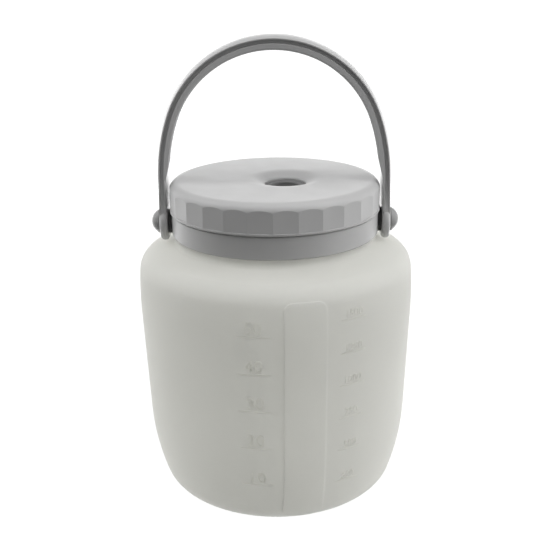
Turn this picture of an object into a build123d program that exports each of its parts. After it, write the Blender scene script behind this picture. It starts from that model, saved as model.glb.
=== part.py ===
from build123d import *
import math
import os

# Wide-mouth feeding jar with a screw lid, a port in the lid and a bail handle on two pins.
# Millimetres. Origin: middle of the base, on the surface the jar stands on. +Z up.
# -Y is the front, with the level strip. The handle pivots about the X axis direction.

# ---- jar ---------------------------------------------------------------------------------
WALL = 1.4
BASE_FLAT_R = 48.7          # where the flat of the base ends and the bottom corner begins
BASE_RING_INNER_R = 43.0    # inner edge of the ring that the jar stands on
PUSH_UP_FOOT_R = 39.5
PUSH_UP_FOOT_Z = 1.2
PUSH_UP_TOP_Z = 1.8
# The wall from the base flat to the top of the shoulder: runs that follow each other
# tangentially. An arc is (radius, direction of the outward normal at its end, degrees).
BOTTOM_ARCS = [(13.7, -18.5), (125.0, -2.5)]
SIDE_LENGTH = 55.0
SHOULDER_ARCS = [(165.0, 5.0), (10.5, 70.0)]

# ---- neck --------------------------------------------------------------------------------
LEDGE_R = 50.6              # root of the neck, whose top is the ledge that the collar sits on
LEDGE_Z = 137.3
LEDGE_WALL = 1.8
COVE_R = 3.0                # where the shoulder's slope meets the root of the neck
NECK_R = 47.6
BORE_R = 45.6
RIM_Z = 160.0
RIM_CHAMFER = 0.6
BEAD_R = 48.7               # snap bead that keeps the collar down
BEAD_Z = 149.25
BEAD_HEIGHT = 1.3
BEAD_SLOPE = 0.4            # height of each of the bead's sloping sides

# ---- thread of neck and lid ----------------------------------------------------------------
PITCH = 5.0
THREAD_ROOT_HEIGHT = 2.0    # width of a thread where it leaves its wall
THREAD_CREST_HEIGHT = 1.0
THREAD_BITE = 0.3           # how far a thread is sunk into its wall
NECK_THREAD_R = 49.1
NECK_THREAD_Z = 151.9       # middle of the neck's thread at its lower end, on the +X side
NECK_THREAD_TURNS = 1.25
LID_THREAD_R = 48.1
LID_THREAD_DROP = 2.0       # the lid's thread lies this far under the neck's thread
LID_THREAD_START = 86.4     # degrees round from +X
LID_THREAD_TURNS = 1.0

# ---- level strip ---------------------------------------------------------------------------
STRIP_RAISE = 0.6
STRIP_WIDTH = 20.6
STRIP_DIRECTION = 11.9      # degrees from -Y towards +X
STRIP_BOTTOM_Z = 5.0
STRIP_TOP_Z = 122.5
STRIP_CORNER_R = 4.5

# ---- lid -----------------------------------------------------------------------------------
LID_R = 53.5
LID_BOTTOM_Z = 149.2
LID_TOP_Z = 164.5
LID_PLATE = 2.5
LID_EDGE_R = 5.0
SKIRT_INNER_R = 49.8
SKIRT_CHAMFER = 0.4
PLUG_OUTER_R = 45.0
PLUG_INNER_R = 43.3
PLUG_BOTTOM_Z = 156.0
FLUTES = 28
FLUTE_DEPTH = 0.45
FLUTE_R = 200.0
FLUTE_PHASE = 6.2           # middle of a flute, degrees from -Y towards +X
LIP_HEIGHT = 1.2            # plain lip left under the flutes

# ---- port in the lid -----------------------------------------------------------------------
PORT_X = 5.5
DISH_R = 19.5
DISH_LIP_R = 11.6
DISH_LIP_Z = 162.5
PORT_R = 10.5
PORT_WALL_TOP_Z = 161.2
PAD_TOP_R = 21.0
PAD_BOTTOM_R = 17.0
PAD_BOTTOM_Z = 159.6
SOCKET_R = 13.2
SOCKET_BOTTOM_Z = 150.8
SOCKET_FLANGE = 1.2
SOCKET_OUTLET_R = 8.6
GROMMET_BORE_R = 7.2
GROMMET_TOP_Z = 160.8
GROMMET_CHAMFER = 0.5
SEAT_GAP = 0.1              # gap between pieces that are seated in each other

# ---- gasket --------------------------------------------------------------------------------
GASKET_INNER_R = 45.4
GASKET_OUTER_R = 49.3
GASKET_GAP = 0.05

# ---- collar --------------------------------------------------------------------------------
COLLAR_R = 52.6
COLLAR_INNER_R = 48.3
COLLAR_BOTTOM_Z = 137.4
COLLAR_TOP_Z = 148.9
COLLAR_CHAMFER = 0.5
BOSS_R = 5.2
BOSS_FACE_X = 52.7
POCKET_R = 4.6              # pocket inside the collar for the ring that holds a pin
POCKET_FLOOR_X = 49.8

# ---- pivots --------------------------------------------------------------------------------
PIVOT_Z = 142.6
SHANK_R = 2.6
PIVOT_CLEARANCE = 0.08
PIN_END_X = 48.6
HEAD_R = 6.1
HEAD_RIM = 0.8
HEAD_HEIGHT = 4.8
WASHER_R = 6.2
WASHER_BORE_R = 2.7
WASHER_THICKNESS = 1.45
RING_R = 4.3
RING_THICKNESS = 0.8
RING_NOTCHES = 4
RING_NOTCH_WIDTH = 0.9
RING_NOTCH_R = 3.5

# ---- handle --------------------------------------------------------------------------------
ARCH_R = 57.0               # outer radius of the arch
ARCH_Z = 178.9
LEG_START = 19.0            # degrees above the horizontal where the arch becomes a leg
LEG_R = 97.4                # outer radius of the legs, which bow out down to their centre's
                            # level; below it each leg is a straight foot
STRAP_HALF = 8.0
STRAP_THICKNESS = 7.0
CROWN = 1.4                 # rise of the outer face across the strap
LIP_THICKNESS = 0.6
GROOVE_DEPTH = 1.6
GROOVE_WIDTH = 1.9
FLANGE_ROUND = 0.8
FLANK_TOP_Z = 176.0         # the inner face leans out from here down
FLANK_Z = 166.0             # and is upright below here, to pass beside the lid
FLANK_X = 54.1              # inner face of a leg beside the lid
EYE_CROWN = 0.3
EYE_GROOVE = 0.1            # depth to which the grooves fade at the eyes
EYE_R = 9.75
EYE_THICKNESS = 4.2
EYE_EDGE_R = 1.9
EYE_X = 54.3                # inner face of an eye

LID_PLATE_Z = LID_TOP_Z - LID_PLATE
REACH = 100.0               # length that takes a cut right out of the object


def normal(angle):
    return Vector(math.cos(math.radians(angle)), math.sin(math.radians(angle)))


def tangent(angle):
    return Vector(-math.sin(math.radians(angle)), math.cos(math.radians(angle)))


def wall_outline(inset):
    """The wall's outline in (radius, height), moved inwards by inset, and its last point."""
    point = Vector(BASE_FLAT_R, inset)
    angle = -90.0
    edges = []

    def add_arc(radius, end_angle):
        nonlocal point, angle
        centre = point - normal(angle) * (radius - inset)
        edges.append(CenterArc(centre, radius - inset, angle, end_angle - angle))
        point = centre + normal(end_angle) * (radius - inset)
        angle = end_angle

    for radius, end_angle in BOTTOM_ARCS:
        add_arc(radius, end_angle)
    side_end = point + tangent(angle) * SIDE_LENGTH
    edges.append(Line(point, side_end))
    point = side_end
    for radius, end_angle in SHOULDER_ARCS:
        add_arc(radius, end_angle)
    return edges, point


def cove(slope_start, wall_r):
    """The line up the shoulder's slope, the cove into a wall of that radius, and its top."""
    slope = SHOULDER_ARCS[-1][1]
    centre_r = wall_r + COVE_R
    cove_start_r = centre_r - COVE_R * normal(slope).X
    rise = (slope_start.X - cove_start_r) / math.tan(math.radians(slope))
    cove_start = Vector(cove_start_r, slope_start.Y + rise)
    centre = cove_start + normal(slope) * COVE_R
    edges = [Line(slope_start, cove_start), CenterArc(centre, COVE_R, 180 + slope, -slope)]
    return edges, centre.Y


def filled(*outline):
    """The face inside a closed outline of lines and arcs."""
    return make_face([edge for piece in outline for edge in piece.edges()])


def turned(*outline):
    """The solid that an outline in (radius, height) makes when it is turned about Z."""
    return revolve(Plane.XZ * filled(*outline), Axis.Z, 360)


def ring(inner_r, outer_r, bottom_z, top_z):
    """A plain ring about Z."""
    outline = Polyline((inner_r, bottom_z), (outer_r, bottom_z), (outer_r, top_z),
                       (inner_r, top_z), (inner_r, bottom_z))
    return turned(outline)


def turned_at_pivot(*outline):
    """The solid that an outline in (radius, distance along +X) makes about the pivot axis."""
    return Pos(0, 0, PIVOT_Z) * Rot(0, 90, 0) * turned(*outline)


def rod(radius, start_x, end_x):
    """A cylinder along +X between two places, on the pivot axis."""
    return turned_at_pivot(Polyline(
        (0, start_x), (radius, start_x), (radius, end_x), (0, end_x), (0, start_x)))


def thread(wall_r, crest_r, start_z, start_angle, turns):
    """A right-hand thread that stands on a wall, outwards or inwards, towards crest_r."""
    side = 1 if crest_r > wall_r else -1
    root_r = wall_r - side * THREAD_BITE
    path = Helix(PITCH, PITCH * turns, root_r)
    half_root = THREAD_ROOT_HEIGHT / 2
    half_crest = THREAD_CREST_HEIGHT / 2
    reach = crest_r - root_r
    section_plane = Plane(path @ 0, x_dir=(1, 0, 0), z_dir=path % 0)
    section = section_plane * make_face(Polyline(
        (0, -half_root), (reach, -half_crest), (reach, half_crest), (0, half_root), (0, -half_root)))
    solid = sweep(section, path=path, is_frenet=True)
    return Pos(0, 0, start_z) * Rot(0, 0, start_angle) * solid


def jar_shell():
    """Base, wall, shoulder and neck as one turned shell."""
    outer, outer_end = wall_outline(0)
    inner, inner_end = wall_outline(WALL)
    outer_cove, root_z = cove(outer_end, LEDGE_R)
    root_bore_r = LEDGE_R - LEDGE_WALL
    inner_cove, root_bore_z = cove(inner_end, root_bore_r)
    neck = Polyline(
        (LEDGE_R, root_z), (LEDGE_R, LEDGE_Z), (NECK_R, LEDGE_Z), (NECK_R, BEAD_Z),
        (BEAD_R, BEAD_Z + BEAD_SLOPE), (BEAD_R, BEAD_Z + BEAD_HEIGHT - BEAD_SLOPE),
        (NECK_R, BEAD_Z + BEAD_HEIGHT), (NECK_R, RIM_Z - RIM_CHAMFER),
        (NECK_R - RIM_CHAMFER, RIM_Z), (BORE_R + RIM_CHAMFER, RIM_Z),
        (BORE_R, RIM_Z - RIM_CHAMFER), (BORE_R, LEDGE_Z),
        (root_bore_r, LEDGE_Z - LEDGE_WALL), (root_bore_r, root_bore_z))
    base = Polyline(
        (BASE_FLAT_R, 0), (BASE_RING_INNER_R, 0), (PUSH_UP_FOOT_R, PUSH_UP_FOOT_Z),
        (0, PUSH_UP_TOP_Z), (0, PUSH_UP_TOP_Z + WALL), (PUSH_UP_FOOT_R, PUSH_UP_FOOT_Z + WALL),
        (BASE_RING_INNER_R, WALL), (BASE_FLAT_R, WALL))
    return turned(*outer, *outer_cove, neck, *inner_cove, *inner, base)


def level_strip():
    """The raised strip down the front of the wall, with rounded top corners."""
    outer, outer_end = wall_outline(-STRIP_RAISE)
    inner, inner_end = wall_outline(WALL / 2)
    skin = turned(
        *outer, Line(outer_end, inner_end), *inner,
        Line((BASE_FLAT_R, WALL / 2), (BASE_FLAT_R, -STRIP_RAISE)))
    height = STRIP_TOP_Z - STRIP_BOTTOM_Z
    face_plane = Plane((0, 0, STRIP_BOTTOM_Z + height / 2), x_dir=(1, 0, 0), z_dir=(0, -1, 0))
    window = extrude(face_plane * RectangleRounded(STRIP_WIDTH, height, STRIP_CORNER_R), REACH)
    return Rot(0, 0, STRIP_DIRECTION) * (skin & window)


def make_jar_body():
    neck_thread = thread(NECK_R, NECK_THREAD_R, NECK_THREAD_Z, 0, NECK_THREAD_TURNS)
    return jar_shell() + level_strip() + neck_thread


def flute_cutter():
    """One flute's cutter: a wide cylinder that stands beside the lid."""
    distance = LID_R - FLUTE_DEPTH + FLUTE_R
    height = LID_TOP_Z - LID_BOTTOM_Z
    return Pos(0, -distance, LID_BOTTOM_Z + LIP_HEIGHT) * Cylinder(
        FLUTE_R, height, align=(Align.CENTER, Align.CENTER, Align.MIN))


def port_pad():
    """The thick part of the plate under the dish, and the socket below it."""
    pad = turned(Polyline(
        (0, LID_PLATE_Z + 1), (PAD_TOP_R, LID_PLATE_Z + 1), (PAD_TOP_R, LID_PLATE_Z),
        (PAD_BOTTOM_R, PAD_BOTTOM_Z), (SOCKET_R, PAD_BOTTOM_Z), (SOCKET_R, SOCKET_BOTTOM_Z),
        (0, SOCKET_BOTTOM_Z), (0, LID_PLATE_Z + 1)))
    return Pos(PORT_X, 0, 0) * pad


def port_cut():
    """The dish, the rounded lip, the round hole and its smaller outlet."""
    flange_top_z = SOCKET_BOTTOM_Z + SOCKET_FLANGE
    cut = turned(
        Spline((DISH_R, LID_TOP_Z), (DISH_LIP_R, DISH_LIP_Z), tangents=((-1, 0), (-1, -0.45))),
        Spline((DISH_LIP_R, DISH_LIP_Z), (PORT_R, PORT_WALL_TOP_Z), tangents=((-1, -0.45), (0, -1))),
        Polyline(
            (PORT_R, PORT_WALL_TOP_Z), (PORT_R, flange_top_z), (SOCKET_OUTLET_R, flange_top_z),
            (SOCKET_OUTLET_R, SOCKET_BOTTOM_Z - 1), (0, SOCKET_BOTTOM_Z - 1), (0, LID_TOP_Z + 1),
            (DISH_R, LID_TOP_Z + 1), (DISH_R, LID_TOP_Z)))
    return Pos(PORT_X, 0, 0) * cut


def make_screw_lid():
    rounding_centre = (LID_R - LID_EDGE_R, LID_TOP_Z - LID_EDGE_R)
    cap = turned(
        Line((0, LID_TOP_Z), (LID_R - LID_EDGE_R, LID_TOP_Z)),
        CenterArc(rounding_centre, LID_EDGE_R, 0, 90),
        Polyline(
            (LID_R, LID_TOP_Z - LID_EDGE_R), (LID_R, LID_BOTTOM_Z + SKIRT_CHAMFER),
            (LID_R - SKIRT_CHAMFER, LID_BOTTOM_Z), (SKIRT_INNER_R + SKIRT_CHAMFER, LID_BOTTOM_Z),
            (SKIRT_INNER_R, LID_BOTTOM_Z + SKIRT_CHAMFER), (SKIRT_INNER_R, LID_PLATE_Z),
            (PLUG_OUTER_R, LID_PLATE_Z), (PLUG_OUTER_R, PLUG_BOTTOM_Z + SKIRT_CHAMFER),
            (PLUG_OUTER_R - SKIRT_CHAMFER, PLUG_BOTTOM_Z), (PLUG_INNER_R, PLUG_BOTTOM_Z),
            (PLUG_INNER_R, LID_PLATE_Z), (0, LID_PLATE_Z), (0, LID_TOP_Z)))
    cutter = flute_cutter()
    step = 360 / FLUTES
    cap = cap - [Rot(0, 0, FLUTE_PHASE + step * number) * cutter for number in range(FLUTES)]
    cap = cap + port_pad() - port_cut()
    turn_z = PITCH * LID_THREAD_START / 360
    start_z = NECK_THREAD_Z - LID_THREAD_DROP + turn_z
    return cap + thread(SKIRT_INNER_R, LID_THREAD_R, start_z, LID_THREAD_START, LID_THREAD_TURNS)


def make_port_grommet():
    outer_r = PORT_R - SEAT_GAP
    bottom_z = SOCKET_BOTTOM_Z + SOCKET_FLANGE + SEAT_GAP
    outline = Polyline(
        (GROMMET_BORE_R, bottom_z), (outer_r, bottom_z), (outer_r, GROMMET_TOP_Z),
        (GROMMET_BORE_R + GROMMET_CHAMFER, GROMMET_TOP_Z),
        (GROMMET_BORE_R, GROMMET_TOP_Z - GROMMET_CHAMFER), (GROMMET_BORE_R, bottom_z))
    return Pos(PORT_X, 0, 0) * turned(outline)


def make_lid_gasket():
    return ring(GASKET_INNER_R, GASKET_OUTER_R, RIM_Z + GASKET_GAP, LID_PLATE_Z - GASKET_GAP)


def make_neck_collar():
    band = turned(Polyline(
        (COLLAR_INNER_R, COLLAR_BOTTOM_Z), (COLLAR_R - COLLAR_CHAMFER, COLLAR_BOTTOM_Z),
        (COLLAR_R, COLLAR_BOTTOM_Z + COLLAR_CHAMFER), (COLLAR_R, COLLAR_TOP_Z - COLLAR_CHAMFER),
        (COLLAR_R - COLLAR_CHAMFER, COLLAR_TOP_Z), (COLLAR_INNER_R, COLLAR_TOP_Z),
        (COLLAR_INNER_R, COLLAR_BOTTOM_Z)))
    for half_turn in (0, 180):
        boss = rod(BOSS_R, POCKET_FLOOR_X, BOSS_FACE_X)
        hole = rod(SHANK_R, 0, REACH)
        pocket = rod(POCKET_R, 0, POCKET_FLOOR_X)
        band = band + Rot(0, 0, half_turn) * boss
        band = band - Rot(0, 0, half_turn) * (hole + pocket)
    return band


def make_pivot_pin():
    """A pin with a domed head, for the +X side."""
    head_x = EYE_X + EYE_THICKNESS + SEAT_GAP
    dome_height = HEAD_HEIGHT - HEAD_RIM
    dome_r = (HEAD_R ** 2 + dome_height ** 2) / (2 * dome_height)
    dome_angle = math.degrees(math.asin(HEAD_R / dome_r))
    dome_centre = (0, head_x + HEAD_HEIGHT - dome_r)
    return turned_at_pivot(
        Polyline((0, head_x + HEAD_HEIGHT), (0, PIN_END_X), (SHANK_R, PIN_END_X),
                 (SHANK_R, head_x), (HEAD_R, head_x), (HEAD_R, head_x + HEAD_RIM)),
        CenterArc(dome_centre, dome_r, 90 - dome_angle, dome_angle))


def make_spacer_washer():
    """A plain washer between the collar's boss and the handle's eye, for the +X side."""
    face_x = BOSS_FACE_X
    washer = rod(WASHER_R, face_x, face_x + WASHER_THICKNESS)
    return washer - rod(WASHER_BORE_R, 0, REACH)


def make_retaining_ring():
    """A push-on ring with notched teeth that grips the end of a pin, for the +X side."""
    back_x = POCKET_FLOOR_X - SEAT_GAP - RING_THICKNESS
    body = rod(RING_R, back_x, back_x + RING_THICKNESS) - rod(SHANK_R, 0, REACH)
    notch = Pos(POCKET_FLOOR_X, RING_NOTCH_R / 2, PIVOT_Z) * Box(
        4 * RING_THICKNESS, RING_NOTCH_R, RING_NOTCH_WIDTH)
    axis = Axis((0, 0, PIVOT_Z), (1, 0, 0))
    return body - [notch.rotate(axis, 360 / RING_NOTCHES * number) for number in range(RING_NOTCHES)]


def strap_section(inner_x, outer_x, crown, groove):
    """Section of the strap: crowned outer face, a groove in each edge, chamfered inner flange.

    X is outwards from the arch, Y is across the strap.
    """
    edge_x = outer_x - crown
    lip_x = edge_x - LIP_THICKNESS
    flange_x = lip_x - GROOVE_WIDTH
    web = STRAP_HALF - groove
    half = [
        (edge_x, STRAP_HALF), (lip_x, STRAP_HALF), (lip_x, web), (flange_x, web),
        (flange_x, STRAP_HALF), (inner_x + FLANGE_ROUND, STRAP_HALF),
        (inner_x, STRAP_HALF - FLANGE_ROUND),
    ]
    other_half = [(x, -y) for x, y in reversed(half)]
    return filled(
        Polyline(*half, *other_half), ThreePointArc(other_half[-1], (outer_x, 0), half[0]))


def bow_centre():
    """Centre of the +X leg's bow."""
    outward = Vector(math.cos(math.radians(LEG_START)), 0, math.sin(math.radians(LEG_START)))
    return Vector(0, 0, ARCH_Z) - outward * (LEG_R - ARCH_R)


def flank_cut():
    """What is taken off the inside of a leg so that it passes beside the lid."""
    centre = bow_centre()
    bow_inner_r = LEG_R - STRAP_THICKNESS
    top_x = centre.X + math.sqrt(bow_inner_r ** 2 - (FLANK_TOP_Z - centre.Z) ** 2)
    outline = Polyline((0, PIVOT_Z), (FLANK_X, PIVOT_Z), (FLANK_X, FLANK_Z), (top_x, FLANK_TOP_Z),
                       (0, FLANK_TOP_Z), (0, PIVOT_Z))
    return extrude(Plane.XZ * filled(outline), REACH, both=True)


def make_handle_half():
    """The handle's +X half: a quarter of the arch, a bowed leg, its straight foot and an eye."""
    outward = Vector(math.cos(math.radians(LEG_START)), 0, math.sin(math.radians(LEG_START)))
    leg_top = Vector(0, 0, ARCH_Z) + outward * ARCH_R
    along = Vector(outward.Z, 0, -outward.X)
    strap = strap_section(-STRAP_THICKNESS, 0, CROWN, GROOVE_DEPTH)
    section = Plane(leg_top, x_dir=outward, z_dir=along) * strap
    arch = revolve(section, Axis((0, 0, ARCH_Z), (0, -1, 0)), 90 - LEG_START)

    centre = bow_centre()
    bow = revolve(section, Axis(centre, (0, 1, 0)), LEG_START)

    foot_top = strap_section(FLANK_X, centre.X + LEG_R, CROWN, GROOVE_DEPTH)
    eye_top = Pos(0, 0, PIVOT_Z + HEAD_R) * strap_section(
        EYE_X, EYE_X + EYE_THICKNESS, EYE_CROWN, EYE_GROOVE)
    foot = loft([Pos(0, 0, centre.Z) * foot_top, eye_top])
    stem = extrude(eye_top, -HEAD_R)

    eye = rod(EYE_R, EYE_X, EYE_X + EYE_THICKNESS)
    eye = fillet(eye.edges().filter_by(GeomType.CIRCLE), EYE_EDGE_R)
    hole = rod(SHANK_R + PIVOT_CLEARANCE, 0, REACH)
    return arch + (bow - flank_cut()) + foot + stem + eye - hole


def make_bail_handle():
    half = make_handle_half()
    return half + mirror(half, Plane.YZ)


def export_node(name, shape):
    """Write one node's shape to its own file."""
    export_step(shape, f"parts/{name}.step")


def main():
    os.makedirs("parts", exist_ok=True)
    export_node("jar_body", make_jar_body())
    export_node("neck_collar", make_neck_collar())
    export_node("bail_handle", make_bail_handle())
    export_node("screw_lid", make_screw_lid())
    export_node("lid_gasket", make_lid_gasket())
    export_node("port_grommet", make_port_grommet())
    paired = {
        "pivot_pin": make_pivot_pin(),
        "spacer_washer": make_spacer_washer(),
        "retaining_ring": make_retaining_ring(),
    }
    for name, shape in paired.items():
        export_node(f"{name}_right", shape)
        export_node(f"{name}_left", mirror(shape, Plane.YZ))


main()
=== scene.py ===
"""Looks of the calf feeding bottle: camera, studio, materials and the moulded fine detail.

Metres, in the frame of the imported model: origin in the middle of the base, +Z up, -Y the front.
"""

import math

import bmesh
import bpy
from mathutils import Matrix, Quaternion, Vector
from mathutils.bvhtree import BVHTree


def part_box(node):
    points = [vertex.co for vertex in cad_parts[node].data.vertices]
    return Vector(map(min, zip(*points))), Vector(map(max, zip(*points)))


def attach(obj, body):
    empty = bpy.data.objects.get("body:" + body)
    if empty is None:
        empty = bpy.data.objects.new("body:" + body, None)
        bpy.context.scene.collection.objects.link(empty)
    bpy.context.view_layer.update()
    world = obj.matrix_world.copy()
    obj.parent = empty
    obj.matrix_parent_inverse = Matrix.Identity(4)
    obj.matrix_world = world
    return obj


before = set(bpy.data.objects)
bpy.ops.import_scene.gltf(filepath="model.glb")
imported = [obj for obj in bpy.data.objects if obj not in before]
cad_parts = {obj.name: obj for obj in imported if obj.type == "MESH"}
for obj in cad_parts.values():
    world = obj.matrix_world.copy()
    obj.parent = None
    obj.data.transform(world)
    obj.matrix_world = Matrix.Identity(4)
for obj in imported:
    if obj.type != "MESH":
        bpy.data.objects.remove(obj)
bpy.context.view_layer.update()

MM = 0.001

# ---- camera ------------------------------------------------------------------------------
CAMERA_AZIMUTH = 0.8        # degrees, from -Y towards +X
CAMERA_ROLL = 0.8           # degrees, the object leans left in the picture
CAMERA_ELEVATION = 19.0
CAMERA_DISTANCE = 520.5 * MM
CAMERA_TARGET_X = -0.1 * MM
CAMERA_TARGET_BELOW_LID = 52.3 * MM
CAMERA_SENSOR = 36.0        # millimetres across
CAMERA_LENS = 64.9          # millimetres
CLIP_START = 10 * MM
CLIP_END = 50.0             # metres


def make_camera():
    """The photograph's viewing angle: a little above the lid, almost square to the handle."""
    lid_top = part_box("screw_lid")[1].z
    target = Vector((CAMERA_TARGET_X, 0, lid_top - CAMERA_TARGET_BELOW_LID))
    azimuth = math.radians(CAMERA_AZIMUTH)
    elevation = math.radians(CAMERA_ELEVATION)
    back = Vector((
        math.sin(azimuth) * math.cos(elevation),
        -math.cos(azimuth) * math.cos(elevation),
        math.sin(elevation),
    ))
    data = bpy.data.cameras.new("camera")
    data.sensor_width = CAMERA_SENSOR
    data.lens = CAMERA_LENS
    data.clip_start = CLIP_START
    data.clip_end = CLIP_END
    camera = bpy.data.objects.new("camera", data)
    bpy.context.scene.collection.objects.link(camera)
    camera.location = target + back * CAMERA_DISTANCE
    camera.rotation_mode = "QUATERNION"
    roll = Quaternion((0, 0, 1), math.radians(-CAMERA_ROLL))
    camera.rotation_quaternion = (-back).to_track_quat("-Z", "Y") @ roll
    bpy.context.scene.camera = camera


# ---- studio ------------------------------------------------------------------------------
# Soft patches of light: azimuth from -Y towards +X, elevation, cosine at the edge, strength.
LIGHT_PATCHES = [
    (88, 15, 0.6, 2.1),
    (-110, 15, 0.6, 1.55),
    (0, 80, 0.6, 1.85),
    (180, -35, 0.3, 3.4),
    (75, 45, 0.985, 10.0),
    (-95, 45, 0.985, 10.0),
]
AMBIENT = 0.185
BACKDROP = (1, 1, 1, 1)
FLOOR_SIZE = 12.0           # metres
FLOOR_GLOW = 0.95           # the floor shines, so it shows white and without a shadow
FLOOR_SHADE = 0.12


def make_floor():
    bpy.ops.mesh.primitive_plane_add(size=FLOOR_SIZE)
    floor = bpy.context.object
    floor.name = "floor"
    material = bpy.data.materials.new("floor")
    material.use_nodes = True
    shader = material.node_tree.nodes["Principled BSDF"]
    shader.inputs["Base Color"].default_value = (FLOOR_SHADE, FLOOR_SHADE, FLOOR_SHADE, 1)
    shader.inputs["Roughness"].default_value = 1.0
    shader.inputs["Emission Color"].default_value = (1, 1, 1, 1)
    shader.inputs["Emission Strength"].default_value = FLOOR_GLOW
    floor.data.materials.append(material)
    # The floor doesn't light the object, and the studio's light passes through it from below.
    floor.visible_diffuse = False
    floor.visible_glossy = False
    floor.visible_transmission = False
    floor.visible_shadow = False


def make_world():
    """White behind the object, and soft light from the sides, from above and from behind."""
    world = bpy.data.worlds.new("studio")
    world.use_nodes = True
    bpy.context.scene.world = world
    tree = world.node_tree
    tree.nodes.clear()
    coordinates = tree.nodes.new("ShaderNodeTexCoord")

    def lobe(azimuth, elevation, edge, strength):
        """A soft patch of light about a direction, which fades out at the edge's cosine."""
        turn = math.radians(azimuth)
        rise = math.radians(elevation)
        dot = tree.nodes.new("ShaderNodeVectorMath")
        dot.operation = "DOT_PRODUCT"
        dot.inputs[1].default_value = (
            math.sin(turn) * math.cos(rise),
            -math.cos(turn) * math.cos(rise),
            math.sin(rise),
        )
        tree.links.new(coordinates.outputs["Generated"], dot.inputs[0])
        ramp = tree.nodes.new("ShaderNodeMapRange")
        ramp.interpolation_type = "SMOOTHSTEP"
        ramp.inputs["From Min"].default_value = edge
        ramp.inputs["From Max"].default_value = 1.0
        ramp.inputs["To Max"].default_value = strength
        tree.links.new(dot.outputs["Value"], ramp.inputs["Value"])
        return ramp.outputs["Result"]

    total = None
    for patch in LIGHT_PATCHES:
        result = lobe(*patch)
        if total is None:
            total = result
            continue
        plus = tree.nodes.new("ShaderNodeMath")
        tree.links.new(total, plus.inputs[0])
        tree.links.new(result, plus.inputs[1])
        total = plus.outputs[0]
    lift = tree.nodes.new("ShaderNodeMath")
    tree.links.new(total, lift.inputs[0])
    lift.inputs[1].default_value = AMBIENT
    light = tree.nodes.new("ShaderNodeBackground")
    tree.links.new(lift.outputs[0], light.inputs["Strength"])
    white = tree.nodes.new("ShaderNodeBackground")
    white.inputs["Color"].default_value = BACKDROP
    path = tree.nodes.new("ShaderNodeLightPath")
    mix = tree.nodes.new("ShaderNodeMixShader")
    output = tree.nodes.new("ShaderNodeOutputWorld")
    tree.links.new(path.outputs["Is Camera Ray"], mix.inputs["Fac"])
    tree.links.new(light.outputs[0], mix.inputs[1])
    tree.links.new(white.outputs[0], mix.inputs[2])
    tree.links.new(mix.outputs[0], output.inputs["Surface"])


def make_studio():
    make_floor()
    make_world()
    bpy.context.scene.view_settings.view_transform = "Standard"
    bpy.context.scene.view_settings.look = "None"


# ---- materials ---------------------------------------------------------------------------
JAR_TRANSLUCENCY = 0.68
SCALE_TRANSLUCENCY = 0.93   # the raised marks add faces to the light's way, so they pass more
THROUGH_COLOUR = (0.95, 0.95, 0.93, 1)
CLOUD_SCALE = 28.0          # of the faint cloud in a plastic's colour
GLOSS_SCALE = 90.0
GRAIN_SCALE = 900.0
GRAIN_STRENGTH = 0.12
GRAIN_DEPTH = 0.2 * MM
EDGE_RADIUS = 0.4 * MM      # to which moulded edges are softened
JAR_EDGE_RADIUS = 1.3 * MM
EDGE_SAMPLES = 6
# The middle part of a noise's range, where most of its values lie.
NOISE_LOW = 0.3
NOISE_HIGH = 0.7


class Nodes:
    """Short calls for building a material's nodes."""

    def __init__(self, name):
        self.material = bpy.data.materials.new(name)
        self.material.use_nodes = True
        self.tree = self.material.node_tree
        self.shader = self.tree.nodes["Principled BSDF"]

    def add(self, kind):
        return self.tree.nodes.new(kind)

    def link(self, source, target):
        self.tree.links.new(source, target)

    def position(self):
        """Object coordinates, which ride with the body."""
        coordinates = self.add("ShaderNodeTexCoord")
        return coordinates.outputs["Object"]

    def noise(self, vector, scale, detail):
        node = self.add("ShaderNodeTexNoise")
        node.inputs["Scale"].default_value = scale
        node.inputs["Detail"].default_value = detail
        self.link(vector, node.inputs["Vector"])
        return node.outputs["Fac"]

    def spread(self, noise, low, high):
        """The middle part of a noise's range, stretched over low to high."""
        node = self.add("ShaderNodeMapRange")
        self.link(noise, node.inputs["Value"])
        node.inputs["From Min"].default_value = NOISE_LOW
        node.inputs["From Max"].default_value = NOISE_HIGH
        node.inputs["To Min"].default_value = low
        node.inputs["To Max"].default_value = high
        return node.outputs["Result"]

    def mix(self, fraction, first, second):
        node = self.add("ShaderNodeMix")
        node.data_type = "RGBA"
        self.link(fraction, node.inputs[0])
        node.inputs[6].default_value = first
        node.inputs[7].default_value = second
        return node.outputs[2]

    def bump(self, height, edge_radius):
        """A grain on the surface, with the edges softened to that radius."""
        node = self.add("ShaderNodeBump")
        edge = self.add("ShaderNodeBevel")
        edge.samples = EDGE_SAMPLES
        edge.inputs["Radius"].default_value = edge_radius
        self.link(edge.outputs["Normal"], node.inputs["Normal"])
        node.inputs["Strength"].default_value = GRAIN_STRENGTH
        node.inputs["Distance"].default_value = GRAIN_DEPTH
        self.link(height, node.inputs["Height"])
        self.link(node.outputs["Normal"], self.shader.inputs["Normal"])


def grey(value):
    return (value, value, value, 1)


def moulded_plastic(name, low, high, roughness, edge_radius=EDGE_RADIUS):
    """Moulded plastic: a faint cloud in its colour, a fine eroded grain, uneven gloss."""
    nodes = Nodes(name)
    position = nodes.position()
    cloud = nodes.noise(position, CLOUD_SCALE, 4.0)
    colour = nodes.mix(nodes.spread(cloud, 0, 1), low, high)
    nodes.link(colour, nodes.shader.inputs["Base Color"])
    gloss = nodes.noise(position, GLOSS_SCALE, 3.0)
    roughness_here = nodes.spread(gloss, roughness * 0.9, roughness * 1.12)
    nodes.link(roughness_here, nodes.shader.inputs["Roughness"])
    nodes.bump(nodes.noise(position, GRAIN_SCALE, 2.0), edge_radius)
    return nodes


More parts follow.
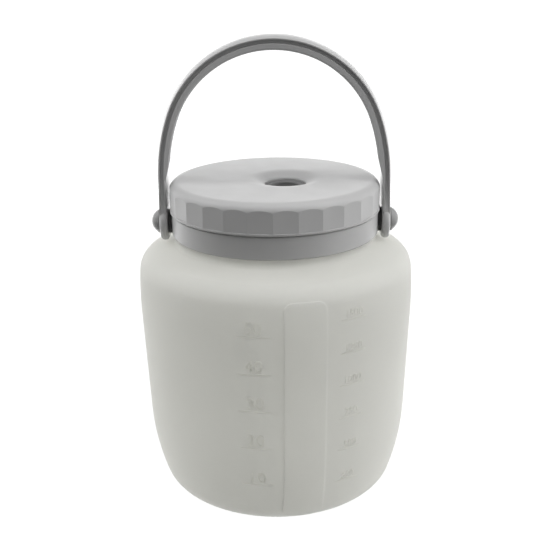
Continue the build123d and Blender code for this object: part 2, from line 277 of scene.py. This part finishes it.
def jar_material(name, translucency):
    """The jar's plastic. Part of the light that meets a face of the thin wall passes it."""
    nodes = moulded_plastic(
        name, (0.72, 0.72, 0.708, 1), (0.75, 0.75, 0.738, 1), 0.5, JAR_EDGE_RADIUS)
    through = nodes.add("ShaderNodeBsdfTranslucent")
    through.inputs["Color"].default_value = THROUGH_COLOUR
    mix = nodes.add("ShaderNodeMixShader")
    mix.inputs["Fac"].default_value = translucency
    nodes.link(nodes.shader.outputs[0], mix.inputs[1])
    nodes.link(through.outputs[0], mix.inputs[2])
    nodes.link(mix.outputs[0], nodes.tree.nodes["Material Output"].inputs["Surface"])
    return nodes.material


def assign(material, *names):
    for name in names:
        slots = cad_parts[name].data.materials
        slots.clear()
        slots.append(material)


def make_materials():
    assign(jar_material("jar_plastic", JAR_TRANSLUCENCY), "jar_body")
    assign(moulded_plastic("collar_plastic", grey(0.40), grey(0.43), 0.42).material, "neck_collar")
    assign(moulded_plastic("lid_plastic", grey(0.44), grey(0.47), 0.42).material, "screw_lid")
    assign(moulded_plastic("handle_plastic", grey(0.47), grey(0.51), 0.3).material, "bail_handle")
    assign(moulded_plastic("pin_plastic", grey(0.26), grey(0.30), 0.16).material,
           "pivot_pin_left", "pivot_pin_right")
    assign(moulded_plastic("washer_plastic", grey(0.03), grey(0.045), 0.5).material,
           "spacer_washer_left", "spacer_washer_right")
    assign(moulded_plastic("gasket_rubber", grey(0.55), grey(0.6), 0.6).material, "lid_gasket")
    # Painted shade: the grommet is made dark grey so that it stands for the shadow down in the
    # port's hole.
    assign(moulded_plastic("grommet_rubber", grey(0.15), grey(0.18), 0.5).material, "port_grommet")
    steel = moulded_plastic("ring_steel", grey(0.5), grey(0.6), 0.3)
    steel.shader.inputs["Metallic"].default_value = 1.0
    assign(steel.material, "retaining_ring_left", "retaining_ring_right")


# ---- graduation scales -------------------------------------------------------------------
STRIP_AZIMUTH = 11.9        # degrees, from -Y towards +X
SCALE_OFFSET = 20.1         # degrees between the strip and the middle of each scale
OUNCE = 28.41306            # millilitres in an imperial fluid ounce
# Marks, numeral height, half width of a line, and which way from the strip.
OUNCE_SCALE = {"marks": (10, 20, 30, 40, 50), "unit": OUNCE, "text": 6.3, "half": 7.1, "side": -1}
ML_SCALE = {"marks": (250, 500, 750, 1000, 1250, 1500), "unit": 1.0, "text": 3.6, "half": 6.0,
            "side": 1}
LINE_HEIGHT = 0.75 * MM
RELIEF = 0.16 * MM
SUNK = 0.1 * MM
NUMERAL_LIFT = 1.3 * MM     # from a line to the foot of its numeral
FILL_START_Z = 110 * MM     # columns of the jar's volume hang from this level
FILL_R = 68.5 * MM          # the inside of the wall at that level
FILL_STEP = 0.25 * MM
LINE_STEPS = 24
LINE_END = 16               # how squarely a line ends
FONT_CAP_HEIGHT = 0.69      # height of a figure in a font of size 1
NUMERAL_EDGE = 0.03 * MM
NUMERAL_CURVE_STEPS = 4
OUTSIDE_R = 200 * MM        # outside the jar, where the rays to its wall start


def jar_tree():
    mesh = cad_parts["jar_body"].data
    corners = [vertex.co for vertex in mesh.vertices]
    return BVHTree.FromPolygons(corners, [tuple(face.vertices) for face in mesh.polygons])


def fill_height(tree, millilitres):
    """The level that a volume reaches, from columns stood on the jar's floor and lower wall."""
    columns = []
    for number in range(int(FILL_R / FILL_STEP)):
        radius = (number + 0.5) * FILL_STEP
        hit = tree.ray_cast(Vector((0, radius, FILL_START_Z)), Vector((0, 0, -1)))[0]
        columns.append((hit.z, 2 * math.pi * radius * FILL_STEP))
    low, high = 0.0, 2 * FILL_START_Z
    for _ in range(40):
        level = (low + high) / 2
        volume = sum(max(0.0, level - foot) * area for foot, area in columns)
        if volume * 1e6 < millilitres:
            low = level
        else:
            high = level
    return level


class Wall:
    """Places points on the outside of the jar's wall."""

    def __init__(self, tree):
        self.tree = tree

    def point(self, azimuth, z, lift):
        turn = math.radians(azimuth)
        outward = Vector((math.sin(turn), -math.cos(turn), 0))
        start = outward * OUTSIDE_R + Vector((0, 0, z))
        hit, normal, _, _ = self.tree.ray_cast(start, -outward)
        return hit + normal * lift


def add_line(mesh, wall, azimuth, half, z):
    """A rounded raised line along the wall."""
    profile = ((-0.5, -SUNK), (-0.42, 0.6 * RELIEF), (-0.15, RELIEF), (0.15, RELIEF),
               (0.42, 0.6 * RELIEF), (0.5, -SUNK))
    rows = []
    for number in range(LINE_STEPS + 1):
        place = 2 * number / LINE_STEPS - 1
        fade = math.sqrt(max(0.0, 1 - abs(place) ** LINE_END))
        rows.append([
            mesh.verts.new(wall.point(
                azimuth + half * place, z + across * LINE_HEIGHT, lift * fade - SUNK * (1 - fade)))
            for across, lift in profile])
    for row, following in zip(rows, rows[1:]):
        for corner in range(len(profile) - 1):
            mesh.faces.new((row[corner], following[corner], following[corner + 1], row[corner + 1]))


def add_numeral(mesh, wall, text, size, azimuth, z):
    """Raised figures, laid on the wall with their foot at that height."""
    curve = bpy.data.curves.new("numeral", "FONT")
    curve.body = text
    curve.size = size * MM / FONT_CAP_HEIGHT
    curve.align_x = "CENTER"
    curve.extrude = SUNK
    curve.bevel_depth = NUMERAL_EDGE
    curve.resolution_u = NUMERAL_CURVE_STEPS
    carrier = bpy.data.objects.new("numeral", curve)
    bpy.context.scene.collection.objects.link(carrier)
    bpy.context.view_layer.update()
    flat = bpy.data.meshes.new_from_object(
        carrier.evaluated_get(bpy.context.evaluated_depsgraph_get()))
    radius = Vector(wall.point(azimuth, z, 0)[:2]).length
    for vertex in flat.vertices:
        turn = azimuth + math.degrees(vertex.co.x / radius)
        vertex.co = wall.point(turn, z + vertex.co.y, vertex.co.z + RELIEF - SUNK)
    mesh.from_mesh(flat)
    bpy.data.objects.remove(carrier)
    bpy.data.meshes.remove(flat)


def make_scale(name, tree, scale, material):
    wall = Wall(tree)
    azimuth = STRIP_AZIMUTH + scale["side"] * SCALE_OFFSET
    mesh = bmesh.new()
    for mark in scale["marks"]:
        z = fill_height(tree, mark * scale["unit"])
        add_line(mesh, wall, azimuth, scale["half"], z)
        add_numeral(mesh, wall, str(mark), scale["text"], azimuth, z + NUMERAL_LIFT)
    data = bpy.data.meshes.new(name)
    mesh.to_mesh(data)
    mesh.free()
    data.materials.append(material)
    piece = bpy.data.objects.new(name, data)
    bpy.context.scene.collection.objects.link(piece)
    for face in data.polygons:
        face.use_smooth = True
    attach(piece, "jar")


def make_scales():
    tree = jar_tree()
    material = jar_material("scale_plastic", SCALE_TRANSLUCENCY)
    make_scale("ounce_scale", tree, OUNCE_SCALE, material)
    make_scale("millilitre_scale", tree, ML_SCALE, material)


make_camera()
make_studio()
make_materials()
make_scales()
